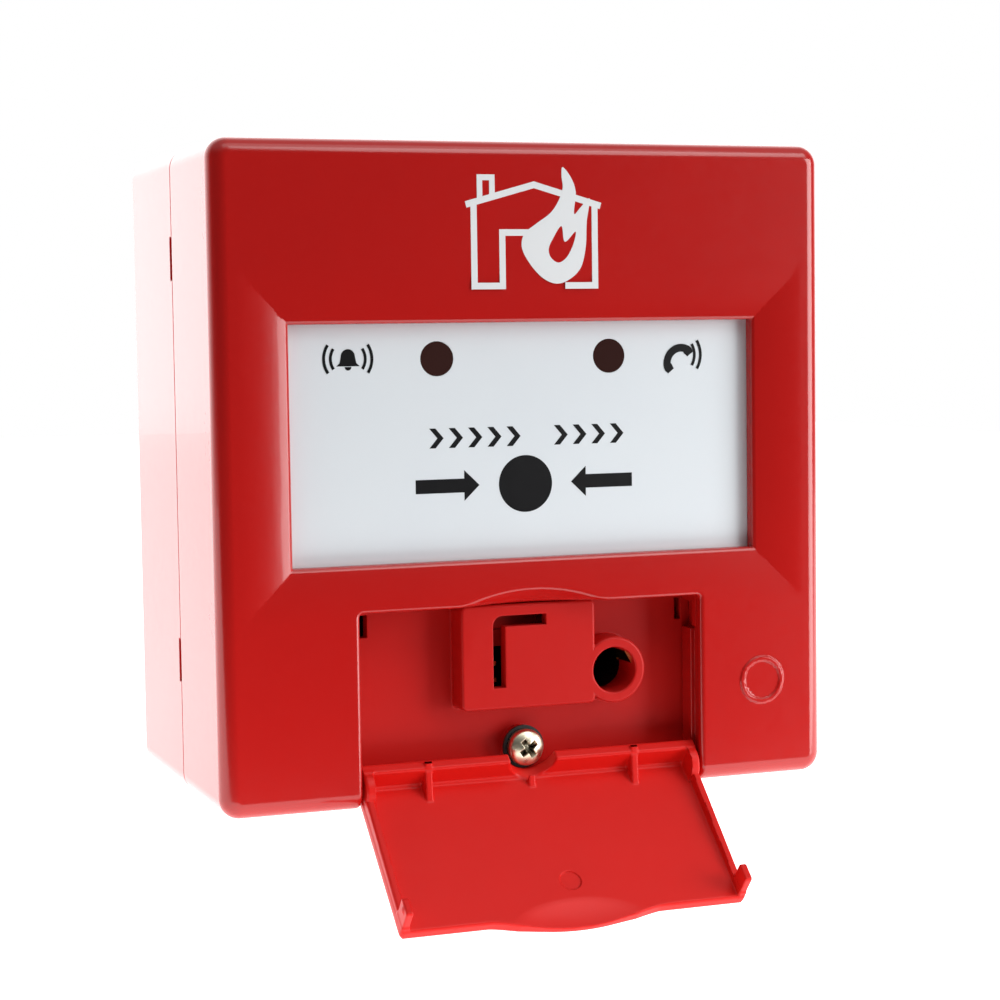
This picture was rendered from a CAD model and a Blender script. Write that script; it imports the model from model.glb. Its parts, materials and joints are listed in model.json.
"""Looks of a wall-mounted manual call point: moulded shells, printed panel, works and studio.

Each moulded shell is a distance field in millimetres, meshed on a grid whose lines crowd together
only at its edges, so every edge has its true moulded radius. What repeats is instanced by
Geometry Nodes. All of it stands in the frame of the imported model, in metres.
"""

import json
import logging
import math
from dataclasses import dataclass, field
from enum import Enum
from typing import Callable, Optional, Sequence

import bmesh
import bpy
import numpy as np
from mathutils import Matrix, Vector
from mathutils.geometry import tessellate_polygon

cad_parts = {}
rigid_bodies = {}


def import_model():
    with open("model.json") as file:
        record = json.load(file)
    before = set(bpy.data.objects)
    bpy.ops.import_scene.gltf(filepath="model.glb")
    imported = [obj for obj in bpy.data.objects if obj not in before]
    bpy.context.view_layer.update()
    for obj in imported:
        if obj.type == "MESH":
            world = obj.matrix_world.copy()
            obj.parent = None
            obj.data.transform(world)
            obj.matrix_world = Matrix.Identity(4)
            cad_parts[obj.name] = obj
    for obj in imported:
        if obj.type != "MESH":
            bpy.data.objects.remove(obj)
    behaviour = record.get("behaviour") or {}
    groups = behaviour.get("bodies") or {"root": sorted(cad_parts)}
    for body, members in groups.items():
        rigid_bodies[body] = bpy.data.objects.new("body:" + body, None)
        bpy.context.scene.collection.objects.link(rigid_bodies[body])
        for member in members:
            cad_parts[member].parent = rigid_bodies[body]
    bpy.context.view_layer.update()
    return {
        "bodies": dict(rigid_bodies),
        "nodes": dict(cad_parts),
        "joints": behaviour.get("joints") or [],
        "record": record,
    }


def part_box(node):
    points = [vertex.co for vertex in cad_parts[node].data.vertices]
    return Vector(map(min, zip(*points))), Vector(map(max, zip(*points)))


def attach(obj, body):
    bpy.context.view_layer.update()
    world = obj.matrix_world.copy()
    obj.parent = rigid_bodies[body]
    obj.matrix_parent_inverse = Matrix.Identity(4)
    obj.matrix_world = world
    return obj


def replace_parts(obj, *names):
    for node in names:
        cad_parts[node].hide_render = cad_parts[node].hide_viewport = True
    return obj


LOG = logging.getLogger("call_point")
MM = 0.001
Field = Callable[[np.ndarray], np.ndarray]
Span = tuple[float, float]
Triple = tuple[float, float, float]

# ---- sizes in common


@dataclass(frozen=True)
class Housing:
    """Levels and sizes that several pieces share, in millimetres."""

    half_w: float = 47.5
    half_h: float = 48.05
    corner: float = 3.0
    wall: float = 2.2
    front: float = -51.6
    cover_in: float = -49.4
    seam: float = -27.3
    film: float = -48.4
    boss: float = -48.6
    floor: float = -44.2
    floor_back: float = -42.2
    bay_half: float = 26.8
    bay_top: float = -19.6
    hinge_y: float = -49.1
    hinge_z: float = -45.55
    screw_z: float = -41.5
    lamp_x: float = 13.55
    lamp_z: float = 16.65
    door_angle: float = 131.0


BOX = Housing()

# ---- distance fields


def span(c: np.ndarray, low: float, high: float) -> np.ndarray:
    """Distance to the slab between low and high along one coordinate."""
    return np.maximum(low - c, c - high)


def rect(u: np.ndarray, v: np.ndarray, half_u: float, half_v: float, r: float) -> np.ndarray:
    """Distance to a rectangle about the origin whose corners have radius r."""
    qu, qv = np.abs(u) - half_u + r, np.abs(v) - half_v + r
    outside = np.hypot(np.maximum(qu, 0), np.maximum(qv, 0))
    return outside + np.minimum(np.maximum(qu, qv), 0) - r


def both(a: np.ndarray, b: np.ndarray, r: float = 0.0) -> np.ndarray:
    """What lies in a and in b, with radius r on the edge where they meet."""
    if r <= 0:
        return np.maximum(a, b)
    corner = np.hypot(np.maximum(r + a, 0), np.maximum(r + b, 0))
    return np.minimum(-r, np.maximum(a, b)) + corner


def either(a: np.ndarray, b: np.ndarray, r: float = 0.0) -> np.ndarray:
    """What lies in a or in b, with a fillet of radius r in the corner between them."""
    if r <= 0:
        return np.minimum(a, b)
    corner = np.hypot(np.maximum(r - a, 0), np.maximum(r - b, 0))
    return np.maximum(r, np.minimum(a, b)) - corner


def less(a: np.ndarray, b: np.ndarray, r: float = 0.0) -> np.ndarray:
    """What is left of a once b is cut away, with radius r on the cut's edge."""
    return both(a, -b, r)


def block(p: np.ndarray, x: Span, y: Span, z: Span, r: float = 0.0) -> np.ndarray:
    """Distance to a box given by its spans, with radius r on its edges."""
    out = both(span(p[:, 0], *x), span(p[:, 1], *y), r)
    return both(out, span(p[:, 2], *z), r)


def rod(p: np.ndarray, at: Span, r: float, y: Span, edge: float = 0.0) -> np.ndarray:
    """Distance to a round rod along Y at (x, z), with radius edge on its rims."""
    return both(np.hypot(p[:, 0] - at[0], p[:, 2] - at[1]) - r, span(p[:, 1], *y), edge)


# ---- meshing a field


FIRST_LINE = 0.731  # Offset of the first grid line, in fine steps, so none lies on a flat face
STEEPEST = 1.35  # Most that a blended field may fall short by, over a block
MARGIN = 0.3  # Added to that, in millimetres
POINTS_AT_ONCE = 400_000
POLISH_STEPS = 4
CELL_ROOM = 0.55  # How far a corner may move, in cells
TILE = 7.3  # Size of a tile within which flat areas merge, in millimetres
FLAT_ANGLE = 0.25  # Degrees
FLAT_MATCH = 0.9998  # Cosine above which a corner counts as flat
SHARP_MATCH = 0.2  # Cosine below which a sharp edge has tipped a corner


@dataclass(frozen=True)
class Lines:
    """Grid lines along one axis, close together at marks and wide apart between them.

    Attributes:
        low: where the lines start.
        high: where they end.
        marks: places, or spans given as pairs, that need the fine step.
        fine: the smallest step.
        coarse: the largest step.
        growth: how fast the step grows with the distance from a mark.
    """

    low: float
    high: float
    marks: Sequence[Span | float]
    fine: float = 0.16
    coarse: float = 3.0
    growth: float = 0.35

    def points(self) -> np.ndarray:
        """The places of the lines, in order."""
        spans = [(m, m) if isinstance(m, (int, float)) else m for m in self.marks]
        at, out = self.low - FIRST_LINE * self.fine, []
        while at < self.high + self.fine:
            out.append(at)
            near = min(max(a - at, at - b, 0.0) for a, b in spans)
            step = min(self.coarse, self.fine + self.growth * near)
            # A step never jumps over the start of the next mark's fine zone
            ahead = [a - 0.5 * self.fine - at for a, _ in spans if a - 0.5 * self.fine > at]
            if ahead and step > self.fine:
                step = max(self.fine, min(step, min(ahead)))
            at += step
        out.append(at)
        return np.array(out)


def mirrored(*spans: Span) -> list[Span]:
    """Spans and their mirror images about zero."""
    return [*spans, *((-b, -a) for a, b in spans)]


def slope(f: Field, p: np.ndarray, step: float = 2e-3) -> np.ndarray:
    """Unit gradient of a field at points, by central differences."""
    g = np.empty_like(p)
    for axis in range(3):
        d = np.zeros(3)
        d[axis] = step
        g[:, axis] = f(p + d) - f(p - d)
    size = np.linalg.norm(g, axis=1, keepdims=True)
    return g / np.maximum(size, 1e-9)


def sample(f: Field, axes: Sequence[np.ndarray], pack: int = 5) -> np.ndarray:
    """Values of a field on a grid, worked out only in the blocks that the surface may cross.

    Args:
        f: the field.
        axes: the grid's lines along X, Y and Z.
        pack: how many lines a block spans.

    Returns:
        The values; away from the surface only their sign is right.
    """
    starts = [np.arange(0, len(a) - 1, pack) for a in axes]
    ends = [np.minimum(s + pack, len(a) - 1) for s, a in zip(starts, axes)]
    mids = [(a[s] + a[e]) / 2 for a, s, e in zip(axes, starts, ends)]
    halves = [(a[e] - a[s]) / 2 for a, s, e in zip(axes, starts, ends)]
    centre = np.stack(np.meshgrid(*mids, indexing="ij"), -1).reshape(-1, 3)
    reach = np.sqrt(sum(h**2 for h in np.meshgrid(*halves, indexing="ij"))).ravel()
    value = f(centre)
    shape = [len(m) for m in mids]
    crossed = (np.abs(value) < STEEPEST * reach + MARGIN).reshape(shape)
    which = [np.minimum(np.arange(len(a)) // pack, len(m) - 1) for a, m in zip(axes, mids)]
    out = np.where(value < 0, -9.0, 9.0).reshape(shape)[np.ix_(*which)]
    need = np.zeros([len(a) for a in axes], bool)
    for i, j, k in zip(*np.nonzero(crossed)):
        s = [slice(starts[n][m], ends[n][m] + 1) for n, m in enumerate((i, j, k))]
        need[tuple(s)] = True
    spots = np.argwhere(need)
    for chunk in np.array_split(spots, max(1, len(spots) // POINTS_AT_ONCE)):
        p = np.stack([axes[n][chunk[:, n]] for n in range(3)], -1)
        out[tuple(chunk.T)] = f(p)
    return out


EDGES = [
    (a, b)
    for a in range(8)
    for b in range(a + 1, 8)
    if bin(a ^ b).count("1") == 1
]


def net(f: Field, axes: Sequence[np.ndarray]) -> tuple[np.ndarray, np.ndarray]:
    """Turns a field's surface into quads, one corner in each cell that it crosses.

    Args:
        f: the field.
        axes: the grid's lines along X, Y and Z.

    Returns:
        The corner points and the quads, wound so that they face outwards.
    """
    v = sample(f, axes)
    inside = v < 0
    shape = tuple(n - 1 for n in v.shape)
    corner = [((c >> 2) & 1, (c >> 1) & 1, c & 1) for c in range(8)]
    count = np.zeros(shape, np.int8)
    for dx, dy, dz in corner:
        count += inside[dx : shape[0] + dx, dy : shape[1] + dy, dz : shape[2] + dz]
    cells = np.argwhere((count > 0) & (count < 8))
    order = np.full(shape, -1, np.int32)
    order[tuple(cells.T)] = np.arange(len(cells))
    at, val = [], []
    for c in corner:
        idx = cells + c
        at.append(np.stack([axes[n][idx[:, n]] for n in range(3)], -1))
        val.append(v[tuple(idx.T)])
    total, hits = np.zeros((len(cells), 3)), np.zeros(len(cells))
    for a, b in EDGES:
        cross = (val[a] < 0) != (val[b] < 0)
        gap = np.where(cross, val[a] - val[b], 1.0)
        t = np.where(cross, val[a] / gap, 0.0)[:, None]
        total += np.where(cross[:, None], at[a] + t * (at[b] - at[a]), 0.0)
        hits += cross
    points = total / hits[:, None]
    room = CELL_ROOM * (at[7] - at[0])
    start = points.copy()
    for _ in range(POLISH_STEPS):
        points = points - f(points)[:, None] * slope(f, points)
        points = np.clip(points, start - room, start + room)
    quads = []
    for axis in range(3):
        u, w = (axis + 1) % 3, (axis + 2) % 3
        low = [slice(None)] * 3
        high = [slice(None)] * 3
        low[axis], high[axis] = slice(0, -1), slice(1, None)
        a, b = inside[tuple(low)], inside[tuple(high)]
        edge = np.argwhere(a != b)
        edge = edge[(edge[:, u] > 0) & (edge[:, w] > 0)]
        edge = edge[(edge[:, u] < shape[u]) & (edge[:, w] < shape[w])]
        ring = []
        for du, dw in ((-1, -1), (0, -1), (0, 0), (-1, 0)):
            c = edge.copy()
            c[:, u] += du
            c[:, w] += dw
            ring.append(order[tuple(c.T)])
        quad = np.stack(ring, -1)
        flip = ~a[tuple(edge.T)]
        quad[flip] = quad[flip][:, ::-1]
        quads.append(quad)
    return points, np.concatenate(quads)


def raw_mesh(name: str, points: np.ndarray, faces: np.ndarray) -> bpy.types.Mesh:
    """A mesh from corner points and faces that all have as many corners."""
    mesh = bpy.data.meshes.new(name)
    n, k = faces.shape
    mesh.vertices.add(len(points))
    mesh.vertices.foreach_set("co", points.astype(np.float32).ravel())
    mesh.loops.add(n * k)
    mesh.loops.foreach_set("vertex_index", faces.astype(np.int32).ravel())
    mesh.polygons.add(n)
    mesh.polygons.foreach_set("loop_start", np.arange(0, n * k, k, dtype=np.int32))
    mesh.update(calc_edges=True)
    return mesh


def mould(
    name: str,
    f: Field,
    x: Lines,
    y: Lines,
    z: Lines,
    turn: Optional[Callable[[np.ndarray], np.ndarray]] = None,
) -> bpy.types.Object:
    """Meshes a field, merges its flat areas and gives it the field's own smooth normals.

    Args:
        name: the piece's name.
        f: the field, in millimetres.
        x: grid lines along X.
        y: grid lines along Y.
        z: grid lines along Z.
        turn: rotates points or directions into place; None leaves them.

    Returns:
        The finished object, in metres.
    """
    points, quads = net(f, [x.points(), y.points(), z.points()])
    mesh = raw_mesh(name, points, quads)
    # Flat areas merge tile by tile, which keeps the merged faces small
    tile = np.floor(points[quads].mean(1) / TILE).astype(int) @ (1, 3, 9) % 27
    mesh.polygons.foreach_set("material_index", tile.astype(np.int32))
    bm = bmesh.new()
    bm.from_mesh(mesh)
    limit = math.radians(FLAT_ANGLE)
    bmesh.ops.dissolve_limit(
        bm, angle_limit=limit, verts=bm.verts, edges=bm.edges, delimit={"MATERIAL"}
    )
    bmesh.ops.triangulate(bm, faces=bm.faces, quad_method="BEAUTY", ngon_method="BEAUTY")
    for face in bm.faces:
        face.material_index = 0
    bm.to_mesh(mesh)
    bm.free()
    count = len(mesh.vertices)
    co = np.empty(count * 3)
    mesh.vertices.foreach_get("co", co)
    co = co.reshape(-1, 3)
    normal = slope(f, co)
    corners = np.empty(len(mesh.loops), np.int32)
    mesh.loops.foreach_get("vertex_index", corners)
    tri = corners.reshape(-1, 3)
    face = np.cross(co[tri[:, 1]] - co[tri[:, 0]], co[tri[:, 2]] - co[tri[:, 0]])
    area = np.linalg.norm(face, axis=1, keepdims=True)
    face = face / np.maximum(area, 1e-12)
    match = np.einsum("ij,ikj->ik", face, normal[tri])
    # A flat face keeps its own normal, and so does a corner that a sharp edge would tip
    flat = (match > FLAT_MATCH).sum(1) >= 2
    own = flat[:, None] | (match < SHARP_MATCH)
    loop = np.where(own[..., None], face[:, None, :], normal[tri]).reshape(-1, 3)
    if turn is not None:
        co, loop = turn(co), turn(loop) - turn(np.zeros((1, 3)))
    mesh.vertices.foreach_set("co", (co * MM).astype(np.float32).ravel())
    mesh.polygons.foreach_set("use_smooth", np.ones(len(mesh.polygons), bool))
    mesh.normals_split_custom_set(loop.tolist())
    mesh.update()
    LOG.info("%s: %d triangles", name, len(mesh.polygons))
    return add_object(name, mesh)


def add_object(name: str, mesh: bpy.types.Mesh) -> bpy.types.Object:
    """Links a mesh into the scene as an object at the origin."""
    obj = bpy.data.objects.new(name, mesh)
    bpy.context.scene.collection.objects.link(obj)
    return obj


# ---- moulded shells


@dataclass
class FrontCover:
    """Front half of the box: window with its bevel, service bay, finger scoop and plain ring."""

    window: Triple = (36.2, 17.3, 4.5)
    bevel: tuple[float, float] = (3.3, 1.2)
    bevel_edge: float = 1.6
    bay_edge: float = 0.7
    scoop_r: float = 32.9
    scoop_rise: float = 2.6
    ring: Triple = (37.0, -33.1, 3.25)

    def scoop(self, p: np.ndarray) -> np.ndarray:
        """Tilted round cut above the door that a finger reaches into."""
        tilt = math.atan(self.scoop_rise / 3.0)
        cy = BOX.front - self.scoop_r * math.sin(tilt)
        cz = BOX.bay_top + self.scoop_rise - self.scoop_r * math.cos(tilt)
        across = (p[:, 1] - cy) * math.sin(tilt) + (p[:, 2] - cz) * math.cos(tilt)
        cut = np.hypot(p[:, 0], across) - self.scoop_r
        return both(cut, both(p[:, 1] + 48.2, BOX.bay_top - 3 - p[:, 2]))

    def opening(self, p: np.ndarray) -> np.ndarray:
        """The bay's room, open at the bottom, with the sweep of the door's flange."""
        u, y, z = np.abs(p[:, 0]), p[:, 1], p[:, 2]
        side = u - BOX.bay_half
        room = both(both(side, z - BOX.bay_top, 0.6), both(-45.0 - z, y + 43.0))
        sill = both(side, both(z + 44.0, y + 46.1))
        sweep = np.hypot(y - BOX.hinge_y, z - BOX.hinge_z) - 4.05
        return either(either(room, sill), both(sweep, side))

    def shape(self, p: np.ndarray) -> np.ndarray:
        """Distance to the cover."""
        x, y, z = p.T
        u = np.abs(x)
        hw, hh = BOX.half_w, BOX.half_h
        body = both(rect(x, z, hw, hh, BOX.corner), BOX.front - y, 2.5)
        body = both(body, y - BOX.seam, 0.25)
        inside = rect(x, z, hw - BOX.wall, hh - BOX.wall, 1.5)
        body = less(body, both(inside, BOX.cover_in - y))
        body = less(body, both(rect(x, z, hw - 1.1, hh - 1.1, 2.3), -29.0 - y))
        w, h, mid = self.window
        rim = both(rect(x, z - mid, w + 4.3, h + 4.3, 0.5), span(y, -50.0, BOX.film - 0.05))
        body = either(body, rim)
        walls = block(p, (-28.6, 28.6), (-50.0, BOX.floor), (-46.15, -17.8))
        body = either(body, walls)
        for up, back in ((-24, BOX.floor), (31, -40.0)):
            for s in (-41, 41):
                body = either(body, rod(p, (s, up), 3.2, (-50.0, back), 0.2))
        edge = both(u - w, np.abs(z - mid) - h)
        wide, deep = self.bevel
        lean = math.cos(math.atan(deep / wide))
        bevel = (y - BOX.front - deep + edge * deep / wide) * lean
        body = less(body, bevel, self.bevel_edge)
        body = less(body, edge, 0.15)
        body = less(body, self.scoop(p), 0.45)
        body = less(body, self.opening(p), self.bay_edge)
        hole = np.hypot(y - BOX.hinge_y, z - BOX.hinge_z) - 1.07
        body = less(body, both(hole, u - 28.0), 0.1)
        groove = both(span(y, -50.2, -48.0), span(z, BOX.hinge_z, -24.6))
        body = less(body, both(groove, u - 27.4), 0.1)
        pocket = both(span(y, -48.2, -44.1), span(z, -25.0, -20.9))
        body = less(body, both(pocket, u - 28.2), 0.1)
        cx, cz, r = self.ring
        band = np.abs(np.hypot(x - cx, z - cz) - r) - 0.35
        raised = both(band, span(y, BOX.front - 0.2, BOX.front + 0.5), 0.12)
        return either(body, raised, 0.12)

    def build(self) -> bpy.types.Object:
        """Meshes the cover."""
        w, h, mid = self.window
        wide = self.bevel[0]
        cx, cz, r = self.ring
        x = Lines(-47.5, 47.5, [
            *mirrored((44.8, 47.5), (w + wide - 0.7, w + wide + 0.6), (w - 0.2, w + 0.2)),
            *mirrored((26.4, 28.4), (12.8, 12.8)),
            (cx - r - 0.6, cx - r + 0.6), (cx + r - 0.6, cx + r + 0.6), cx,
        ], fine=0.2, coarse=1.6)
        y = Lines(BOX.front - 0.3, BOX.seam, [
            (BOX.front - 0.25, BOX.front + 2.7), -48.2, -46.2, BOX.floor, -28.9,
            (BOX.seam - 0.4, BOX.seam),
        ], fine=0.15, coarse=2.2)
        z = Lines(-BOX.half_h, BOX.half_h, [
            (-BOX.half_h, -44.6), (45.0, BOX.half_h), (-41.5, -41.0), (-25.2, -24.5),
            (BOX.bay_top - 1.4, BOX.bay_top + 3.2), (mid - h - wide - 0.6, mid - h - wide + 0.7),
            (mid - h - 0.2, mid - h + 0.2), (mid + h + wide - 0.7, mid + h + wide + 0.6),
            (mid + h - 0.2, mid + h + 0.2), (cz - r - 0.6, cz - r + 0.6),
            (cz + r - 0.6, cz + r + 0.6), cz,
        ], fine=0.2, coarse=1.6)
        piece = mould("cover_moulding", self.shape, x, y, z)
        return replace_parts(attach(piece, "housing"), "front_cover")


@dataclass
class RearBase:
    """Rear half of the box, with its fixing slots, cable entry, tongue and pry slots."""

    pitch: float = 60.0
    slot: tuple[float, float] = (1.4, 2.1)
    entry: tuple[float, float] = (24.0, 10.0)
    pry_z: Sequence[float] = (31.9, -28.0)

    def shape(self, p: np.ndarray) -> np.ndarray:
        """Distance to the base."""
        x, y, z = p.T
        u = np.abs(x)
        hw, hh = BOX.half_w, BOX.half_h
        outline = rect(x, z, hw, hh, BOX.corner)
        body = both(both(outline, y, 0.5), BOX.seam - y, 0.25)
        tongue = both(rect(x, z, hw - 1.2, hh - 1.2, 2.2), span(y, BOX.seam - 1.5, BOX.seam + 1))
        body = either(body, tongue)
        inside = rect(x, z, hw - BOX.wall, hh - BOX.wall, 1.5)
        body = less(body, both(inside, y + 2.5), 0.2)
        body = either(body, rod(p, (0, BOX.screw_z), 4.0, (BOX.seam + 0.3, -2.0)), 0.4)
        for s in (-25.0, 25.0):
            body = either(body, rod(p, (s, -12.0), 3.2, (-6.0, -2.0)), 0.4)
        half, r = self.slot
        slot = np.hypot(np.maximum(np.abs(u - self.pitch / 2) - half, 0), z) - r
        body = less(body, both(slot, -3.5 - y), 0.25)
        top, er = self.entry
        body = less(body, both(np.hypot(x, z - top) - er, -3.5 - y), 0.3)
        for mid in self.pry_z:
            cut = both(span(z, mid - 3.2, mid + 3.2), span(y, BOX.seam - 0.5, BOX.seam + 1.2))
            body = less(body, both(cut, hw - 0.5 - u), 0.1)
        bore = np.hypot(x, z - BOX.screw_z) - 2.1
        return less(body, both(bore, span(y, -30.0, BOX.seam + 6.3)))

    def build(self) -> bpy.types.Object:
        """Meshes the base."""
        top, er = self.entry
        x = Lines(-47.5, 47.5, [
            *mirrored((45.1, 47.5), (26.3, 33.7), (er - 1.0, er), (4.0, 4.0), (2.1, 2.1)),
        ], fine=0.22, coarse=1.0)
        y = Lines(BOX.seam - 1.5, 0.0, [
            (BOX.seam - 1.5, BOX.seam + 1.4), (-0.7, 0.0), -2.5, -6.0,
        ], fine=0.17, coarse=2.6)
        marks: list[Span | float] = [
            (-BOX.half_h, -45.4), (45.4, BOX.half_h), (-2.3, 2.3), (top - er, top - er + 1.0),
            (top + er - 1.0, top + er), (-46.0, -37.0), -15.2, -8.8,
        ]
        marks += [m + s * 3.2 for m in self.pry_z for s in (-1, 1)]
        piece = mould("base_moulding", self.shape, x, y, Lines(-48.05, 48.05, marks, 0.22, 1.0))
        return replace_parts(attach(piece, "housing"), "rear_base")


@dataclass
class Chassis:
    """Inner frame that shows in the bay: floor, key boss with its keyway, and socket ring."""

    boss: tuple[float, float, float, float, float] = (0.15, -27.5, 10.65, 7.8, 0.9)
    socket: tuple[float, float, float, float] = (13.9, -30.5, 5.0, 3.4)
    key: tuple[float, float] = (-5.5, -21.4)
    edge: float = 0.45
    mounts: Sequence[Span] = ((-33.0, -10.0), (-33.0, 19.0), (33.0, -10.0), (33.0, 19.0))

    def keyway(self, x: np.ndarray, z: np.ndarray) -> np.ndarray:
        """Outline of the bent slot that the reset key enters."""
        kx, kz = self.key
        stem = both(span(x, kx, kx + 1.9), span(z, kz - 10.7, kz))
        arm = both(span(x, kx, kx + 8.4), span(z, kz - 1.6, kz))
        bend = np.hypot(np.minimum(x - kx - 1.5, 0), np.maximum(z - kz + 1.5, 0)) - 1.5
        return both(either(stem, arm), bend)

    def shape(self, p: np.ndarray) -> np.ndarray:
        """Distance to the chassis."""
        x, y, z = p.T
        floor = block(p, (-44, 44), (BOX.floor, BOX.floor_back), (-45.4, -17.0), 0.2)
        frame = block(p, (-44, 44), (-40.0, -38.0), (-18.8, 38.0), 0.2)
        riser = block(p, (-44, 44), (BOX.floor, -38.0), (-18.8, -17.0), 0.2)
        body = either(either(floor, frame), riser)
        bx, bz, hx, hz, r = self.boss
        head = rect(x - bx, z - bz, hx, hz, r)
        sx, sz, outer, bore = self.socket
        round_away = np.hypot(x - sx, z - sz)
        heads = both(either(head, round_away - outer), BOX.boss - y, self.edge)
        heads = both(heads, y - BOX.floor - 0.5)
        body = either(body, heads, 0.3)
        seat = rod(p, (0, BOX.screw_z), 3.0, (BOX.boss + 3, BOX.floor + 0.5), 0.2)
        tube = rod(p, (0, BOX.screw_z), 3.5, (BOX.floor_back - 0.5, BOX.seam + 0.2))
        body = either(either(body, seat, 0.2), tube)
        for at in self.mounts:
            body = either(body, rod(p, at, 3.0, (-38.5, -35.0)))
        body = less(body, both(self.keyway(x, z), y + 46.0), 0.12)
        body = less(body, block(p, (-8.8, 7.2), (-46.6, BOX.floor + 0.01), (-33.6, -20.7)))
        body = less(body, block(p, (-5.5, 2.9), (-45.0, -41.0), (-23.9, -20.9)))
        body = less(body, block(p, (-6.6, -1.9), (-45.0, -41.0), (-33.0, -26.4)))
        body = less(body, both(round_away - bore, y + 41.0), 0.3)
        body = less(body, rod(p, (0, BOX.screw_z), 1.7, (-50.0, -26.0)))
        body = less(body, block(p, (-26.8, -23.6), (-45.0, -41.0), (-24.0, -20.7)), 0.1)
        body = less(body, block(p, (25.85, 26.8), (-45.0, -41.0), (-24.0, -20.7)), 0.1)
        body = less(body, block(p, (-9.5, 9.5), (-41.0, -37.0), (-10.2, -0.8)))
        body = less(body, block(p, (-3.8, 3.8), (-41.9, -35.0), (-19.5, -9.2)))
        for at in self.mounts:
            body = less(body, rod(p, at, 1.55, (-42.0, -34.0)))
        for s in (-BOX.lamp_x, BOX.lamp_x):
            body = less(body, rod(p, (s, BOX.lamp_z), 3.3, (-42.0, -36.0)))
        return body

    def build(self) -> bpy.types.Object:
        """Meshes the chassis."""
        bx, bz, hx, hz, _ = self.boss
        sx, sz, outer, _ = self.socket
        kx, kz = self.key
        x = Lines(-44, 44, [
            -44, 44, -33, 33, -26.8, -23.6, 25.85, 26.8, (bx - hx - 0.3, bx - hx + 1.1),
            (kx - 0.2, kx + 2.1), kx + 8.4, (bx + hx - 1.1, bx + hx + 0.2),
            (sx - outer - 0.1, sx + outer + 0.3), (-3.6, 3.6), -8.8, 7.2,
        ], fine=0.14, coarse=1.6)
        y = Lines(BOX.boss, BOX.seam + 0.2, [
            (BOX.boss, BOX.boss + 0.7), -46.6, -46.0, -45.6, (BOX.floor - 0.4, BOX.floor + 0.3),
            BOX.floor_back, -40, -38, -35, BOX.seam + 0.2,
        ], fine=0.12, coarse=1.6)
        z = Lines(-45.4, 38.0, [
            -45.4, (BOX.screw_z - 3.6, BOX.screw_z + 3.6), (bz - hz - 0.3, bz - hz + 1.1),
            (sz - outer - 0.3, sz + outer + 0.3), (kz - 1.8, kz + 0.2), kz - 10.7, -24.0, -20.7,
            (bz + hz - 1.1, bz + hz + 0.3), -18.8, -17.0, -10, 19, 38.0,
        ], fine=0.14, coarse=1.6)
        piece = mould("chassis_moulding", self.shape, x, y, z)
        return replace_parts(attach(piece, "housing"), "chassis")


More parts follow.
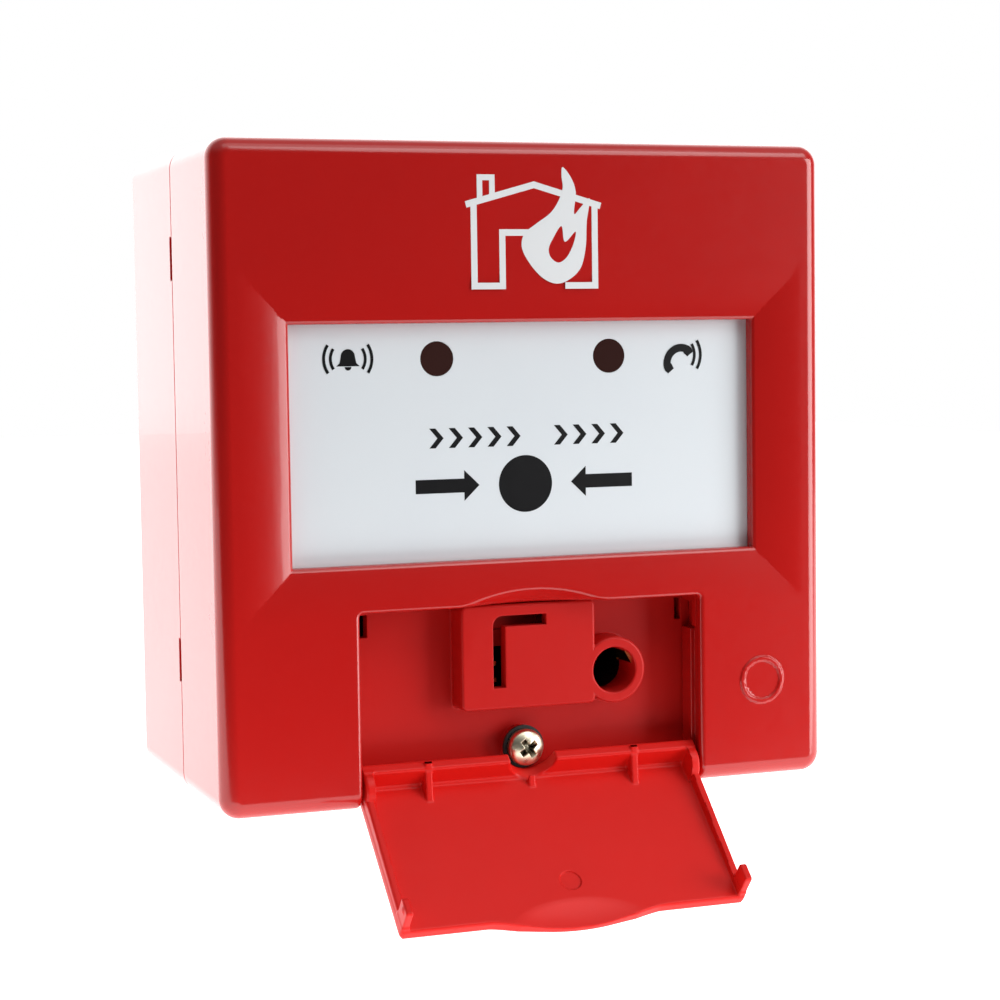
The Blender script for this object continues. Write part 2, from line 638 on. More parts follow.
@dataclass
class Door:
    """Flap door, shaped shut and then swung open about its hinge."""

    half: float = 26.4
    thick: float = 1.8
    top: float = -21.0
    lip_half: float = 11.0
    lip_rise: float = 1.8
    rib_x: Sequence[tuple[float, float]] = ((-16.35, 3.2), (0.0, 2.1), (16.35, 3.2))
    mark: Triple = (0.6, -26.9, 1.6)
    sunk: float = 0.6

    def shape(self, p: np.ndarray) -> np.ndarray:
        """Distance to the door as it stands shut."""
        x, y, z = p.T
        u = np.abs(x)
        fy, hy, hz = BOX.front, BOX.hinge_y, BOX.hinge_z
        end = u - self.half
        lip_r = (self.lip_half**2 + self.lip_rise**2) / (2 * self.lip_rise)
        lip = np.hypot(x, z - (self.top + self.lip_rise - lip_r)) - lip_r
        tab = both(lip, self.top - 2 - z)
        free = either(both(end, z - self.top), tab, 0.8)
        free = both(free, both(end, z - self.top - 0.6, 1.6))
        free = np.where(u < self.lip_half + 1.5, either(free, tab, 0.8), free)
        # Leaf, rounded lower edge and return flange share one smooth outer face
        outer = both(fy - y, hz - 2.5 - z, 2.5)
        inner = both(fy + self.thick - y, hz - 2.5 + self.thick - z, 0.7)
        leaf = both(outer, -inner)
        leaf = both(leaf, both(y - (hy + 2.85), free), 0.45)
        under = outer + self.sunk
        ear = both(np.hypot(y - hy, z - hz) - 2.9, both(under, 25.0 - u))
        wall_y = fy + 3.5 - (z - hz) / (self.top - hz)
        wall = both(both(under, y - wall_y), both(z - self.top, hz - z))
        wall = both(wall, 25.3 - u)
        side = both(either(ear, wall), end, 0.4)
        side = both(side, z - self.top, 0.5)
        post = both(span(y, fy + 0.5, fy + 5.6), span(z, self.top - 3.2, self.top - 0.3), 0.4)
        post = both(post, span(u, 25.3, self.half), 0.25)
        bump = np.hypot(np.hypot(y + 46.9, z + 22.7) * 0.75, u - 26.0) - 0.62
        body = either(leaf, side, 0.35)
        body = either(either(body, post, 0.3), bump, 0.1)
        pin = both(np.hypot(y - hy, z - hz) - 1.0, span(u, 25.5, self.half + 1.9), 0.15)
        body = either(body, pin)
        for at, leg in self.rib_x:
            fall = (y - fy - self.thick + (z - hz + 2.5 - self.thick) - leg) * math.sqrt(0.5)
            rib = both(both(np.abs(x - at) - 0.55, under), fall, 0.25)
            body = either(body, rib, 0.25)
        notch = np.hypot(x, y - hy - 2.85) - 3.6
        body = less(body, both(notch, z - hz), 0.3)
        mx, mz, r = self.mark
        dish = both(np.hypot(x - mx, z - mz) - r, fy + self.thick - 0.16 - y)
        bowl = (x / 9.6) ** 2 + ((z - self.top - self.lip_rise) / 4.4) ** 2
        scoop = both(fy + self.thick - 0.7 * (1 - bowl) - y, u - 12.0)
        body = less(body, dish, 0.08)
        return less(body, scoop, 0.15)

    def swing(self, p: np.ndarray) -> np.ndarray:
        """Turns points from the shut pose to the modelled open pose."""
        a = math.radians(BOX.door_angle)
        y, z = p[:, 1] - BOX.hinge_y, p[:, 2] - BOX.hinge_z
        turned = (y * math.cos(a) - z * math.sin(a), y * math.sin(a) + z * math.cos(a))
        return np.stack([p[:, 0], turned[0] + BOX.hinge_y, turned[1] + BOX.hinge_z], -1)

    def build(self) -> bpy.types.Object:
        """Meshes the door."""
        marks: list[Span | float] = [(s * 25.9 - 0.9, s * 25.9 + 0.9) for s in (-1, 1)]
        marks += [(at - 0.9, at + 0.9) for at, _ in self.rib_x]
        mz, r = self.mark[1:]
        marks += [*mirrored((9.5, 11.5)), (-3.8, 3.8)]
        x = Lines(-28.4, 28.4, marks, fine=0.16, coarse=0.7)
        y = Lines(BOX.front, BOX.hinge_y + 2.95, [
            (BOX.front, BOX.front + 0.6), (BOX.front + 1.2, BOX.front + 2.0), BOX.hinge_y + 2.85,
        ], fine=0.14, coarse=0.3)
        z = Lines(BOX.hinge_z - 2.9, self.top + self.lip_rise, [
            (BOX.hinge_z - 2.9, BOX.hinge_z + 2.9), (self.top - 3.6, self.top + self.lip_rise),
            (mz - r - 0.2, mz + r + 0.2), -23.7,
        ], fine=0.16, coarse=0.8)
        piece = mould("door_moulding", self.shape, x, y, z, self.swing)
        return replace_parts(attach(piece, "door"), "door")


@dataclass
class CoverScrew:
    """Domed screw with a worn cross recess, seen beside the door's hinge."""

    head_r: float = 2.75
    head: Span = (-48.6, -46.2)
    dome_r: float = 4.1
    shank_r: float = 1.48
    turn: float = 35.0

    def shape(self, p: np.ndarray) -> np.ndarray:
        """Distance to the screw."""
        x, y, z = p[:, 0], p[:, 1], p[:, 2] - BOX.screw_z
        away = np.hypot(x, z)
        top, under = self.head
        dome = np.sqrt(x**2 + (y - top - self.dome_r) ** 2 + z**2) - self.dome_r
        head = both(both(away - self.head_r, y - under, 0.2), dome, 0.35)
        shank = both(away - self.shank_r, span(y, under - 0.1, -21.3), 0.2)
        body = either(head, shank)
        depth = y - top
        for a in (self.turn, self.turn + 90):
            c, s = math.cos(math.radians(a)), math.sin(math.radians(a))
            along, across = x * c + z * s, -x * s + z * c
            narrow = np.abs(across) - 0.46 + 0.16 * depth
            cut = both(narrow, np.abs(along) - 1.75 + 0.8 * depth)
            body = less(body, both(cut, depth - 1.4), 0.12)
        return body

    def build(self) -> bpy.types.Object:
        """Meshes the screw."""
        x = Lines(-self.head_r, self.head_r, [(-self.head_r, self.head_r)], fine=0.09)
        y = Lines(self.head[0], -21.3, [(self.head[0], self.head[1] + 0.1)], 0.08, 2.0, 0.2)
        low, high = BOX.screw_z - self.head_r, BOX.screw_z + self.head_r
        piece = mould("cover_screw_head", self.shape, x, y, Lines(low, high, [(low, high)], 0.09))
        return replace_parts(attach(piece, "housing"), "cover_screw")


# ---- node trees


class Graph:
    """A node tree being built, whose nodes go by short names of their own."""

    def __init__(self, tree: bpy.types.NodeTree, family: str = "ShaderNode") -> None:
        """Starts on a tree whose node types begin with the family's name."""
        self.tree, self.family = tree, family
        self.named: dict[str, bpy.types.Node] = {}

    def add(self, name: str, kind: str, inputs: Optional[dict] = None, **settings: object) -> None:
        """Adds a node.

        Args:
            name: what links call it.
            kind: its type, without the family's name.
            inputs: constants for its sockets, by name or place.
            settings: its own properties, such as its operation.
        """
        whole = kind if kind.startswith("NodeGroup") else self.family + kind
        node = self.named[name] = self.tree.nodes.new(whole)
        for key, value in settings.items():
            setattr(node, key, value)
        for key, value in (inputs or {}).items():
            node.inputs[key].default_value = value

    def use(self, name: str, group: "Groups", **inputs: float) -> None:
        """Adds a shared group under a name, with its inputs."""
        self.add(name, "Group", inputs, node_tree=bpy.data.node_groups[group.value])

    def link(self, *lines: str) -> None:
        """Links sockets.

        Args:
            lines: each reads "node.Socket > node.Socket"; a digit is a socket's place.
        """
        for line in lines:
            ends = []
            for text, side in zip(line.split(">"), ("outputs", "inputs")):
                node, socket = text.strip().split(".")
                sockets = getattr(self.named[node], side)
                ends.append(sockets[int(socket) if socket.isdigit() else socket])
            self.tree.links.new(*ends)


# ---- flat printed marks

Loop = list[tuple[float, float]]


def arc(x: float, z: float, r: float, start: float, end: float, steps: int = 24) -> Loop:
    """Points along an arc, with angles in degrees from +X towards +Z."""
    turn = np.radians(np.linspace(start, end, steps + 1))
    return [(x + r * math.cos(t), z + r * math.sin(t)) for t in turn]


def stroke(path: Loop, width: float) -> list[Loop]:
    """Widens an open path into one closed outline with mitred corners."""
    p = np.array(path, float)
    run = np.diff(p, axis=0)
    run /= np.linalg.norm(run, axis=1, keepdims=True)
    side = np.stack([-run[:, 1], run[:, 0]], -1)
    before, after = np.vstack([side[:1], side]), np.vstack([side, side[-1:]])
    mitre = (before + after) / (1 + (before * after).sum(1, keepdims=True)) * width / 2
    return [[tuple(q) for q in np.concatenate([p + mitre, (p - mitre)[::-1]])]]


HAIR = 0.004  # How much prouder each shape of a print stands than the one before
SUNK = 0.01  # How deep a print's walls reach under the surface


def inlay(name: str, shapes: list[list[Loop]], y: float, thick: float) -> bpy.types.Object:
    """A thin raised print whose face looks out of the front.

    Args:
        name: the piece's name.
        shapes: each one an outline, then any holes in it, in millimetres.
        y: level of the surface that it lies on.
        thick: how far it stands proud; each next shape stands a hair more, so none coincide.

    Returns:
        The object, in metres.
    """
    bm = bmesh.new()
    for i, loops in enumerate(shapes):
        proud = thick + HAIR * i
        rings = [[Vector((x, z, 0)) for x, z in loop] for loop in loops]
        flat = [v for ring in rings for v in ring]
        front = [bm.verts.new((v.x * MM, (y - proud) * MM, v.y * MM)) for v in flat]
        for tri in tessellate_polygon(rings):
            face = bm.faces.new([front[i] for i in tri])
            face.normal_update()
            if face.normal.y > 0:
                face.normal_flip()
        new = set(front)
        rim = [e for e in bm.edges if len(e.link_faces) == 1 and e.verts[0] in new]
        walls = bmesh.ops.extrude_edge_only(bm, edges=rim)["geom"]
        low = [v for v in walls if isinstance(v, bmesh.types.BMVert)]
        bmesh.ops.translate(bm, vec=(0, (proud + SUNK) * MM, 0), verts=low)
    mesh = bpy.data.meshes.new(name)
    bm.to_mesh(mesh)
    bm.free()
    return add_object(name, mesh)


@dataclass
class Lattice:
    """Geometry Nodes tree that sets copies of one piece in rows, and rows beside each other."""

    tree: Optional[bpy.types.NodeTree] = None
    sockets: dict[str, str] = field(default_factory=dict)

    def make(self) -> bpy.types.NodeTree:
        """Builds the tree once and returns it."""
        if self.tree is not None:
            return self.tree
        tree = bpy.data.node_groups.new("Lattice", "GeometryNodeTree")
        ask = {
            "Piece": "NodeSocketObject", "Start": "NodeSocketVector", "Count": "NodeSocketInt",
            "Step": "NodeSocketVector", "Rows": "NodeSocketInt", "Row Step": "NodeSocketVector",
            "Material": "NodeSocketMaterial",
        }
        for name, kind in ask.items():
            socket = tree.interface.new_socket(name, in_out="INPUT", socket_type=kind)
            self.sockets[name] = socket.identifier
        tree.interface.new_socket("Geometry", in_out="OUTPUT", socket_type="NodeSocketGeometry")
        graph = Graph(tree, "GeometryNode")
        for name, kind in (
            ("in", "NodeGroupInput"), ("out", "NodeGroupOutput"), ("rows", "MeshLine"),
            ("line", "MeshLine"), ("spread", "InstanceOnPoints"), ("place", "InstanceOnPoints"),
            ("join", "RealizeInstances"), ("real", "RealizeInstances"),
            ("info", "ObjectInfo"), ("dress", "SetMaterial"),
        ):
            graph.add(name, kind)
        graph.link(
            "in.Rows > rows.Count", "in.Start > rows.Start Location", "in.Row Step > rows.Offset",
            "in.Count > line.Count", "in.Step > line.Offset", "in.Piece > info.Object",
            "rows.Mesh > spread.Points", "line.Mesh > spread.Instance",
            "spread.Instances > join.Geometry", "join.Geometry > place.Points",
            "info.Geometry > place.Instance", "place.Instances > real.Geometry",
            "real.Geometry > dress.Geometry", "in.Material > dress.Material",
            "dress.Geometry > out.Geometry",
        )
        self.tree = tree
        return tree

    def fill(self, name: str, piece: bpy.types.Object, look: bpy.types.Material,
             start: Vector, count: int, step: Vector, rows: int = 1,
             row_step: Vector = Vector()) -> bpy.types.Object:
        """Runs the tree and returns its result as a plain mesh object.

        Args:
            name: name of the new piece.
            piece: what is repeated; it is used up.
            look: the material of every copy.
            start: place of the first copy.
            count: copies in a row.
            step: from one copy to the next.
            rows: number of rows.
            row_step: from one row to the next.

        Returns:
            The finished object.
        """
        host = add_object(name, bpy.data.meshes.new(name + "_points"))
        modifier = host.modifiers.new("lattice", "NODES")
        modifier.node_group = self.make()
        values = {
            "Piece": piece, "Start": start, "Count": count, "Step": step, "Rows": rows,
            "Row Step": row_step, "Material": look,
        }
        for key, value in values.items():
            modifier[self.sockets[key]] = value
        host.update_tag()
        graph = bpy.context.evaluated_depsgraph_get()
        mesh = bpy.data.meshes.new_from_object(host.evaluated_get(graph), depsgraph=graph)
        mesh.name = name
        host.modifiers.remove(modifier)
        host.data = mesh
        bpy.data.objects.remove(piece)
        return host


@dataclass
class Legend:
    """Marks printed on the film, and the pictogram on the cover."""

    looks: dict[str, bpy.types.Material]
    lattice: Lattice
    ink: float = 0.02
    dot: tuple[float, float] = (-1.95, 4.2)
    arrow_z: float = -1.9

    def arrow(self, side: float) -> list[Loop]:
        """An arrow whose tip points at the dot."""
        z = self.arrow_z
        half, head = 1.015, 2.25
        tail, neck, tip = 17.1, 9.6, 7.25
        line = [(tail, half), (neck, half), (neck, head), (tip, 0)]
        line += [(neck, -head), (neck, -half), (tail, -half)]
        return [[(side * x, z + dz) for x, dz in line]]

    def bell(self, x: float, z: float) -> list[list[Loop]]:
        """A bell with its clapper and two sound arcs on each side."""
        dome = arc(x, z + 0.35, 1.05, 0, 180)
        body = dome + [(x - 1.25, z - 0.6), (x - 1.75, z - 1.05), (x + 1.75, z - 1.05),
                       (x + 1.25, z - 0.6)]
        shapes = [[body], [arc(x, z - 1.15, 0.5, 180, 360, 12)]]
        for r in (2.6, 3.6):
            for mid in (0, 180):
                shapes.append(stroke(arc(x, z, r, mid - 34, mid + 34), 0.42))
        return shapes

    def handset(self, x: float, z: float) -> list[list[Loop]]:
        """A handset, set aslant, with two sound arcs beside its earpiece."""
        ear = [(2.75, -0.9), (2.6, -1.45), (1.45, -1.45), (1.3, -0.7)]
        line = arc(0, -1.6, 2.9, 155, 25) + ear + arc(0, -1.6, 1.75, 40, 140, 12)
        line += [(-a, b) for a, b in ear[::-1]]
        c, s = math.cos(math.radians(38)), math.sin(math.radians(38))
        turned = [(x + a * c - b * s, z + a * s + b * c) for a, b in line]
        shapes = [[turned]]
        for r in (3.0, 4.0):
            shapes.append(stroke(arc(x + 0.2, z, r, -32, 32), 0.42))
        return shapes

    def house(self) -> list[list[Loop]]:
        """A house outline with its doorway, a chimney, and a flame with an inner drop."""
        wall = stroke([(0.6, 34.75), (-4.35, 34.75), (-4.35, 27.05), (-8.7, 27.05),
                       (-8.7, 39.0)], 0.95)
        far = stroke([(5.4, 27.05), (10.15, 27.05), (10.15, 38.8)], 0.95)
        roof = stroke([(-9.9, 38.75), (0.65, 41.65), (11.1, 38.65)], 0.95)
        stack = stroke([(-7.75, 39.6), (-7.75, 42.65), (-5.85, 42.65), (-5.85, 40.0)], 0.85)
        flame = [(5.2, 44.25), (6.5, 42.7), (7.2, 40.6), (6.9, 37.5), (8.0, 38.5), (9.4, 39.7),
                 (8.9, 36.4), (8.7, 32.8), (7.9, 29.7), (6.0, 27.9), (3.9, 27.35), (1.7, 28.3),
                 (-0.3, 30.5), (-1.35, 32.7), (-0.9, 34.6), (0.9, 36.0), (3.2, 37.6),
                 (4.5, 39.4), (5.15, 41.2), (5.0, 43.0)]
        drop = [(4.9, 35.7), (5.4, 33.4), (7.1, 34.9), (6.7, 33.0), (5.7, 31.2), (4.4, 30.4),
                (3.2, 31.1), (2.85, 32.4), (3.6, 34.0)]
        return [wall, far, roof, stack, [smooth(flame), smooth(drop)[::-1]]]

    def build(self) -> list[bpy.types.Object]:
        """Prints everything and returns the pieces."""
        z, r = self.dot
        marks = [[arc(0, z, r, 0, 360, 72)[:-1]], self.arrow(-1), self.arrow(1)]
        marks += self.bell(-27.0, 16.85) + self.handset(24.4, 16.6)
        main_marks = inlay("film_marks", marks, BOX.film, self.ink)
        main_marks.data.materials.append(self.looks["ink_black"])
        pieces = [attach(main_marks, "panel")]
        for name, start, count in (("left", -14.9, 5), ("right", 4.6, 4)):
            v = [(0.0, 1.45), (0.95, 1.45), (2.2, 0.0), (0.95, -1.45), (0.0, -1.45), (1.25, 0.0)]
            one = inlay("chevron", [[v]], BOX.film, self.ink)
            row = self.lattice.fill(
                f"film_chevrons_{name}", one, self.looks["ink_black"],
                Vector((start, 0, 5.1)) * MM, count, Vector((3.0, 0, 0)) * MM,
            )
            pieces.append(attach(row, "panel"))
        sign = inlay("cover_pictogram", self.house(), BOX.front, self.ink)
        sign.data.materials.append(self.looks["ink_white"])
        pieces.append(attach(sign, "housing"))
        return pieces


def smooth(loop: Loop, steps: int = 6) -> Loop:
    """A closed curve through the points of a loop."""
    p = np.array(loop, float)
    out = []
    for i in range(len(p)):
        a, b, c, d = (p[(i + k) % len(p)] for k in (-1, 0, 1, 2))
        for t in np.arange(steps) / steps:
            cubic = 2 * b + (c - a) * t + (2 * a - 5 * b + 4 * c - d) * t**2
            out.append(tuple((cubic + (3 * b - a - 3 * c + d) * t**3) / 2))
    return out


@dataclass
class ScrewSet:
    """Equal screws that stand in for one CAD node, at the corners of its box."""

    node: str
    count: int
    rows: int
    recess: float = 0.28

    def one(self, r: float, low: float, high: float, name: str) -> bpy.types.Object:
        """A pan-head screw with a cross recess, its head towards the back of the box."""
        head_r, head_h = r, min(2.0 * r * 0.62, (high - low) * 0.4)
        shank = head_r * 0.47
        recess, depth = head_r * 0.55, head_h * 0.45

        def shape(p: np.ndarray) -> np.ndarray:
            away = np.hypot(p[:, 0], p[:, 2])
            y = p[:, 1]
            head = both(away - head_r, span(y, high - head_h, high), head_h * 0.55)
            body = either(head, both(away - shank, span(y, low, high - head_h / 2), 0.15))
            for a, b in ((p[:, 0], p[:, 2]), (p[:, 2], p[:, 0])):
                cut = np.maximum(np.abs(a) - self.recess, np.abs(b) - recess)
                body = less(body, np.maximum(cut, high - depth - y), 0.06)
            return body

        x = Lines(-head_r, head_r, [(-recess, recess)], 0.14, 0.25)
        y = Lines(low, high, [(high - head_h - 0.1, high)], 0.14, 2.5, 0.3)
        return mould(name, shape, x, y, x)

    def build(self, lattice: Lattice, look: bpy.types.Material, r: float) -> bpy.types.Object:
        """Replaces the node with a set of screws whose heads have radius r."""
        low, high = (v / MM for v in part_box(self.node))
        piece = self.one(r, low.y, high.y, self.node + "_one")
        wide, tall = high.x - low.x - 2 * r, high.z - low.z - 2 * r
        start = Vector((low.x + r, 0, low.z + r)) * MM
        step = Vector((wide / max(1, self.count - 1), 0, 0)) * MM
        up = Vector((0, 0, tall / max(1, self.rows - 1))) * MM
        made = lattice.fill(self.node + "_set", piece, look, start, self.count, step, self.rows, up)
        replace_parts(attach(made, "housing"), self.node)
        return made


# ---- finishes


@dataclass(frozen=True)
class Finish:
    """One surface: two close colours (linear) that drift into each other, and its gloss."""

    colour: Triple
    drift: Triple
    rough: float
    spread: float = 0.06
    metal: float = 0.0
    coat: float = 0.0
    shine: float = 0.5
    grain: float = 0.05
    size: float = 900.0
    wear: float = 0.0
    dust: float = 0.0
    grime: float = 0.0
    glow: float = 0.0


FINISHES: dict[str, Finish] = {
    "red_shell": Finish(
        (0.50, 0.008, 0.006), (0.46, 0.007, 0.006),
        0.2, 0.04, coat=0.3, grain=0.02, dust=0.02
    ),
    "red_inner": Finish(
        (0.53, 0.009, 0.007), (0.48, 0.008, 0.006),
        0.38, 0.06, shine=0.22, grain=0.03, dust=0.02
    ),
    "red_door": Finish(
        (0.68, 0.010, 0.007), (0.63, 0.009, 0.006),
        0.36, 0.05, shine=0.22, grain=0.03, dust=0.01
    ),
    "white_panel": Finish((0.76, 0.80, 0.84), (0.70, 0.75, 0.80), 0.45, dust=0.05),
    "legend": Finish((0.76, 0.81, 0.84), (0.73, 0.78, 0.82), 0.32, 0.05, grain=0.01),
    "ink_black": Finish((0.004, 0.004, 0.005), (0.007, 0.007, 0.008), 0.4, shine=0.2, grain=0.01),
    "ink_white": Finish((0.84, 0.86, 0.87), (0.78, 0.80, 0.82), 0.4, grain=0.02),
    "smoked_lens": Finish((0.030, 0.014, 0.012), (0.018, 0.010, 0.009), 0.1, 0.04, glow=0.01),
    "lamp_resin": Finish((0.45, 0.015, 0.012), (0.36, 0.010, 0.009), 0.15, glow=0.05),
    "brass": Finish((0.60, 0.42, 0.16), (0.48, 0.32, 0.11), 0.3, 0.1, 1.0, size=500, wear=0.3),
    "plated_brass": Finish((0.86, 0.80, 0.62), (0.74, 0.66, 0.46), 0.3, 0.12, 1.0, size=420,
                           wear=0.4, grime=1.0),
    "gold_contact": Finish((0.85, 0.58, 0.20), (0.74, 0.48, 0.15), 0.22, 0.08, 1.0, wear=0.2),
    "steel": Finish((0.55, 0.56, 0.58), (0.44, 0.45, 0.48), 0.3, 0.1, 1.0, size=450, wear=0.3),
    "black_rubber": Finish((0.012, 0.012, 0.012), (0.02, 0.02, 0.02), 0.7, 0.1, dust=0.12),
    "black_plastic": Finish((0.014, 0.014, 0.016), (0.02, 0.02, 0.022), 0.5, 0.08, dust=0.1),
    "chip_resin": Finish((0.016, 0.016, 0.018), (0.024, 0.024, 0.026), 0.55, dust=0.08),
    "capacitor_sleeve": Finish((0.012, 0.018, 0.09), (0.016, 0.024, 0.11), 0.25),
    "board": Finish((0.008, 0.085, 0.03), (0.012, 0.11, 0.04), 0.25, 0.08, size=260),
}


class Groups(Enum):
    """Shared shader node groups."""

    SURFACE = "MouldedSurface"
    DUST = "SettledDust"
    WEAR = "EdgeWear"
    GRIME = "RecessGrime"


def new_group(kind: Groups, inputs: dict[str, float], outputs: dict[str, str]) -> Graph:
    """Starts a shared shader group with named sockets, and its "in" and "out" nodes."""
    group = bpy.data.node_groups.new(kind.value, "ShaderNodeTree")
    for name, value in inputs.items():
        socket = group.interface.new_socket(name, in_out="INPUT", socket_type="NodeSocketFloat")
        socket.default_value = value
    for name, kind_name in outputs.items():
        group.interface.new_socket(name, in_out="OUTPUT", socket_type=kind_name)
    graph = Graph(group)
    graph.add("in", "NodeGroupInput")
    graph.add("out", "NodeGroupOutput")
    return graph


def surface_group() -> None:
    """Slow drift and fine grain of a moulded or plated surface."""
    outputs = {"Drift": "NodeSocketFloat", "Fine": "NodeSocketFloat", "Normal": "NodeSocketVector"}
    graph = new_group(Groups.SURFACE, {"Size": 900.0, "Grain": 0.05}, outputs)
    graph.add("where", "TexCoord")
    graph.add("slow", "TexNoise", {"Scale": 70.0, "Detail": 3.0})
    graph.add("fine", "TexNoise", {"Detail": 4.0})
    graph.add("bump", "Bump", {"Distance": 0.00004})
    graph.link(
        "where.Object > slow.Vector", "where.Object > fine.Vector", "in.Size > fine.Scale",
        "in.Grain > bump.Strength", "fine.Fac > bump.Height", "slow.Fac > out.Drift",
        "fine.Fac > out.Fine", "bump.Normal > out.Normal",
    )


def dust_group() -> None:
    """Mask of dust that has settled where the surface faces up."""
    graph = new_group(Groups.DUST, {"Amount": 0.1}, {"Mask": "NodeSocketFloat"})
    graph.add("where", "TexCoord")
    graph.add("shape", "NewGeometry")
    graph.add("split", "SeparateXYZ")
    graph.add("noise", "TexNoise", {"Scale": 380.0, "Detail": 5.0})
    graph.add("up", "Math", {1: 0.0}, operation="MAXIMUM")
    graph.add("speck", "Math", operation="MULTIPLY")
    graph.add("mask", "Math", operation="MULTIPLY")
    graph.link(
        "where.Object > noise.Vector", "shape.Normal > split.Vector", "split.Z > up.0",
        "up.0 > speck.0", "noise.Fac > speck.1", "speck.0 > mask.0", "in.Amount > mask.1",
        "mask.0 > out.Mask",
    )


def wear_group() -> None:
    """Mask of edges and corners that handling has rubbed."""
    sizes = {"Radius": 0.0003, "Amount": 0.3}
    graph = new_group(Groups.WEAR, sizes, {"Mask": "NodeSocketFloat"})
    graph.add("bevel", "Bevel", samples=4)
    graph.add("shape", "NewGeometry")
    graph.add("dot", "VectorMath", operation="DOT_PRODUCT")
    graph.add("edge", "Math", {0: 1.0}, operation="SUBTRACT")
    graph.add("scale", "Math", operation="MULTIPLY")
    graph.link(
        "in.Radius > bevel.Radius", "bevel.Normal > dot.0", "shape.Normal > dot.1",
        "dot.Value > edge.1", "edge.0 > scale.0", "in.Amount > scale.1", "scale.0 > out.Mask",
    )


def grime_group() -> None:
    """Mask of dark grime that has gathered in narrow recesses."""
    sizes = {"Reach": 0.0009, "Amount": 1.0}
    graph = new_group(Groups.GRIME, sizes, {"Mask": "NodeSocketFloat"})
    graph.add("open", "AmbientOcclusion", samples=8)
    graph.add("depth", "MapRange", {"From Min": 0.85, "From Max": 0.45})
    graph.add("scale", "Math", operation="MULTIPLY")
    graph.link(
        "in.Reach > open.Distance", "open.AO > depth.Value", "depth.Result > scale.0",
        "in.Amount > scale.1", "scale.0 > out.Mask",
    )


DUST_TINT = (0.55, 0.52, 0.48, 1.0)
WORN_TINT = (0.85, 0.84, 0.80, 1.0)
GRIME_TINT = (0.03, 0.022, 0.012, 1.0)
GLOW_TINT = (1.0, 0.08, 0.05, 1.0)


def paint(name: str, finish: Finish) -> bpy.types.Material:
    """Makes one procedural material.

    Args:
        name: the material's name.
        finish: its colours, gloss and grain.

    Returns:
        The material.
    """
    look = bpy.data.materials.new(name)
    look.use_nodes = True
    look.diffuse_color = (*finish.colour, 1.0)
    graph = Graph(look.node_tree)
    shader = graph.named["shader"] = look.node_tree.nodes["Principled BSDF"]
    graph.use("surface", Groups.SURFACE, Size=finish.size, Grain=finish.grain)
    ends = {"A": (*finish.colour, 1.0), "B": (*finish.drift, 1.0)}
    graph.add("mix", "Mix", ends, data_type="RGBA")
    least, most = max(0.02, finish.rough - finish.spread), finish.rough + finish.spread
    graph.add("gloss", "MapRange", {"To Min": least, "To Max": most})
    graph.link(
        "surface.Drift > mix.Factor", "surface.Fine > gloss.Value",
        "gloss.Result > shader.Roughness", "surface.Normal > shader.Normal",
    )
    top = "mix"
    for kind, amount, tint in (
        (Groups.DUST, finish.dust, DUST_TINT),
        (Groups.WEAR, finish.wear, WORN_TINT),
        (Groups.GRIME, finish.grime, GRIME_TINT),
    ):
        if amount > 0:
            layer = kind.value + "Layer"
            graph.use(kind.value, kind, Amount=amount)
            graph.add(layer, "Mix", {"B": tint}, data_type="RGBA")
            graph.link(f"{kind.value}.Mask > {layer}.Factor", f"{top}.Result > {layer}.A")
            top = layer
    graph.link(f"{top}.Result > shader.Base Color")
    for socket, value in (
        ("Metallic", finish.metal), ("Coat Weight", finish.coat),
        ("Specular IOR Level", finish.shine),
    ):
        shader.inputs[socket].default_value = value
    if finish.glow > 0:
        shader.inputs["Emission Color"].default_value = GLOW_TINT
        shader.inputs["Emission Strength"].default_value = finish.glow
    return look


def dress(obj: bpy.types.Object, look: bpy.types.Material) -> None:
    """Gives an object one material in place of what it has."""
    obj.data.materials.clear()
    obj.data.materials.append(look)


# ---- studio


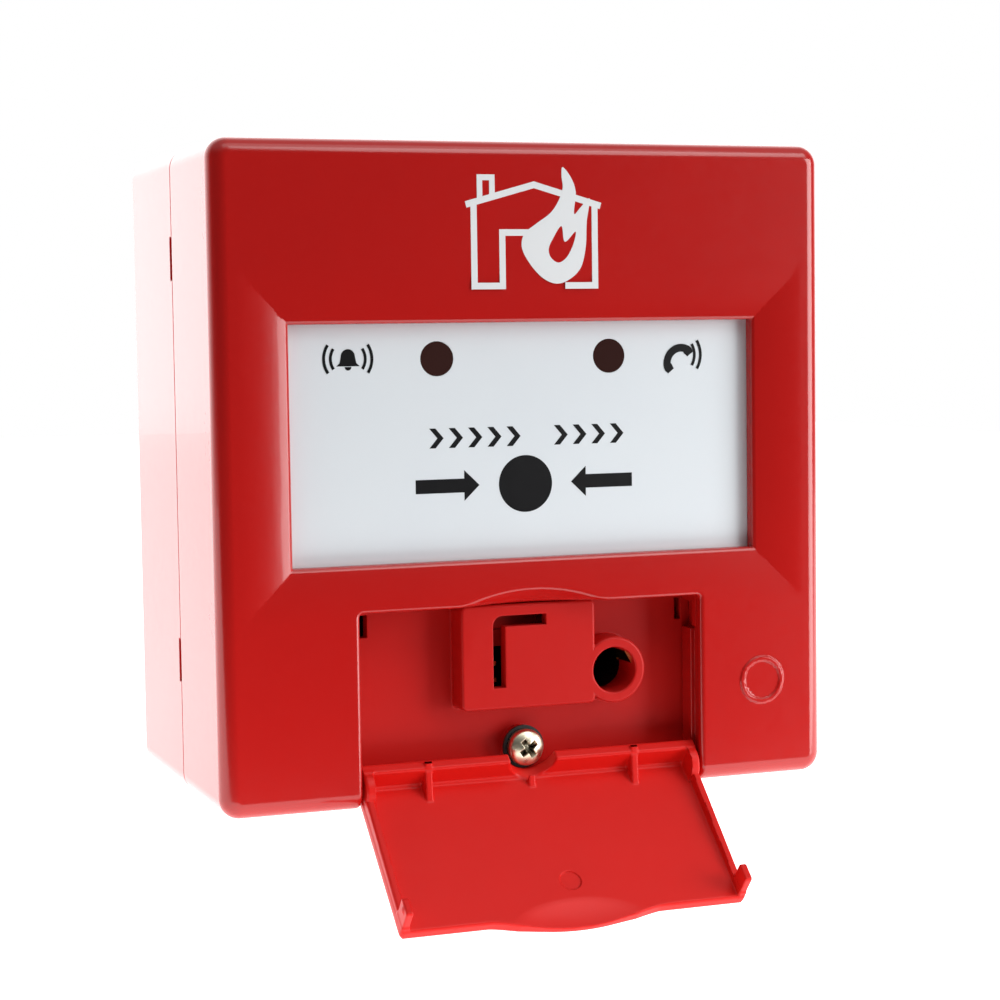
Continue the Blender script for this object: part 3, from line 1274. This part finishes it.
@dataclass
class Studio:
    """White room: floor, soft lights and camera.

    Attributes:
        floor_z: level of the floor.
        floor_half: half the floor's width.
        floor_lead: how far it reaches in front of the wall face.
        eye: place of the camera.
        turn: rotation vector of the camera, with X right, Y down and Z forward.
        lens: focal length in millimetres on a 36 mm wide sensor.
        dark: brightness of the room in front of the object.
        bright: for an axis, where the room starts and stops brightening, and how bright it gets.
        lamps: name, direction, distance, size and power of each soft box.
    """

    floor_z: float = -0.0652
    floor_half: float = 0.9
    floor_lead: float = 0.12
    eye: Triple = (-0.12483, -0.37217, 0.02034)
    turn: Triple = (1.62, -0.304, 0.262)
    lens: float = 84.794
    dark: float = 0.06
    bright: Sequence[tuple[str, float, float, float]] = (
        ("Y", 0.0, 0.92, 2.4), ("Z", 0.35, 0.9, 0.5),
    )
    lamps: Sequence[tuple] = (
        ("key_right", (0.78, -0.60, 0.06), 0.7, (0.42, 0.5), 4.0),
        ("top_soft", (0.10, -0.50, 0.85), 0.8, (0.6, 0.35), 0.7),
        ("front_high", (0.40, -0.66, 0.66), 0.8, (0.4, 0.3), 1.2),
    )

    def floor(self) -> None:
        """Lays a plain pale floor under the object."""
        bm = bmesh.new()
        bmesh.ops.create_grid(bm, x_segments=8, y_segments=8, size=self.floor_half)
        mesh = bpy.data.meshes.new("floor")
        bm.to_mesh(mesh)
        bm.free()
        obj = add_object("floor", mesh)
        obj.location = (0.0, self.floor_half - self.floor_lead, self.floor_z)
        look = bpy.data.materials.new("floor_paper")
        look.use_nodes = True
        shader = look.node_tree.nodes["Principled BSDF"]
        shader.inputs["Base Color"].default_value = (0.6, 0.6, 0.6, 1.0)
        shader.inputs["Roughness"].default_value = 0.9
        shader.inputs["Emission Color"].default_value = (1.0, 1.0, 1.0, 1.0)
        shader.inputs["Emission Strength"].default_value = 1.4
        dress(obj, look)

    def sky(self) -> None:
        """White to the camera, bright behind and above the object, dark in front of it."""
        world = bpy.data.worlds.new("room")
        bpy.context.scene.world = world
        world.use_nodes = True
        world.node_tree.nodes.clear()
        graph = Graph(world.node_tree)
        graph.add("where", "TexCoord")
        graph.add("split", "SeparateXYZ")
        for axis, low, high, most in self.bright:
            ends = {"From Min": low, "From Max": high, "To Min": self.dark, "To Max": most}
            graph.add(axis, "MapRange", ends, interpolation_type="SMOOTHSTEP")
            graph.link(f"split.{axis} > {axis}.Value")
        graph.add("most", "Math", operation="MAXIMUM")
        graph.add("path", "LightPath")
        graph.add("seen", "Mix", {"B": 1.0})
        graph.add("back", "Background", {"Color": (1.0, 1.0, 1.0, 1.0)})
        graph.add("out", "OutputWorld")
        graph.link(
            "where.Generated > split.Vector", "Y.Result > most.0", "Z.Result > most.1",
            "path.Is Camera Ray > seen.Factor", "most.0 > seen.A", "seen.Result > back.Strength",
            "back.Background > out.Surface",
        )

    def lamp(self, name: str, way: Triple, far: float,
             size: Span, watts: float) -> None:
        """Hangs a soft box in a direction from the object, facing it."""
        light = bpy.data.lights.new(name, "AREA")
        light.shape = "RECTANGLE"
        light.size, light.size_y = size
        light.energy = watts
        obj = bpy.data.objects.new(name, light)
        bpy.context.scene.collection.objects.link(obj)
        direction = Vector(way).normalized()
        obj.location = direction * far
        obj.rotation_euler = direction.to_track_quat("Z", "Y").to_euler()

    def camera(self) -> None:
        """Stands the camera at the view the part is known from."""
        data = bpy.data.cameras.new("camera")
        data.lens, data.sensor_width = self.lens, 36.0
        data.clip_start = 0.01
        obj = bpy.data.objects.new("camera", data)
        bpy.context.scene.collection.objects.link(obj)
        turn = Vector(self.turn)
        seen = Matrix.Rotation(turn.length, 3, turn.normalized())
        rows = Matrix((seen[0], -seen[1], -seen[2]))
        obj.matrix_world = Matrix.Translation(self.eye) @ rows.transposed().to_4x4()
        bpy.context.scene.camera = obj

    def build(self) -> None:
        """Sets up everything."""
        self.floor()
        self.sky()
        for lamp in self.lamps:
            self.lamp(*lamp)
        self.camera()
        scene = bpy.context.scene
        scene.view_settings.view_transform = "Standard"
        scene.view_settings.look = "None"


# ---- assembly


def dress_nodes(nodes: dict[str, bpy.types.Object], record: dict, looks: dict) -> None:
    """Gives every CAD node the finish of its slot."""
    for row in record["subparts"]:
        dress(nodes[row["node"]], looks[row["material_slot"]])


def main() -> None:
    """Builds the looks of the part in order, and reports each piece."""
    logging.basicConfig(level=logging.INFO, format="%(message)s")
    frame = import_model()
    surface_group()
    dust_group()
    wear_group()
    grime_group()
    looks = {name: paint(name, finish) for name, finish in FINISHES.items()}
    dress_nodes(frame["nodes"], frame["record"], looks)
    lattice = Lattice()
    shells = (
        (RearBase(), "red_shell", "red_shell"), (FrontCover(), "red_shell", "red_shell"),
        (Chassis(), "red_inner", "red_inner"), (Door(), "red_door", "red_shell"),
        (CoverScrew(), "plated_brass", "plated_brass"),
    )
    for maker, look, slot in shells:
        piece = maker.build()
        dress(piece, looks[look])
        LOG.info("built %s", piece.name)
    LOG.info("built %s", ScrewSet("board_screws", 2, 2).build(lattice, looks["steel"], 2.3).name)
    for piece in Legend(looks, lattice).build():
        LOG.info("built %s", piece.name)
    Studio().build()


if __name__ == "__main__":
    main()
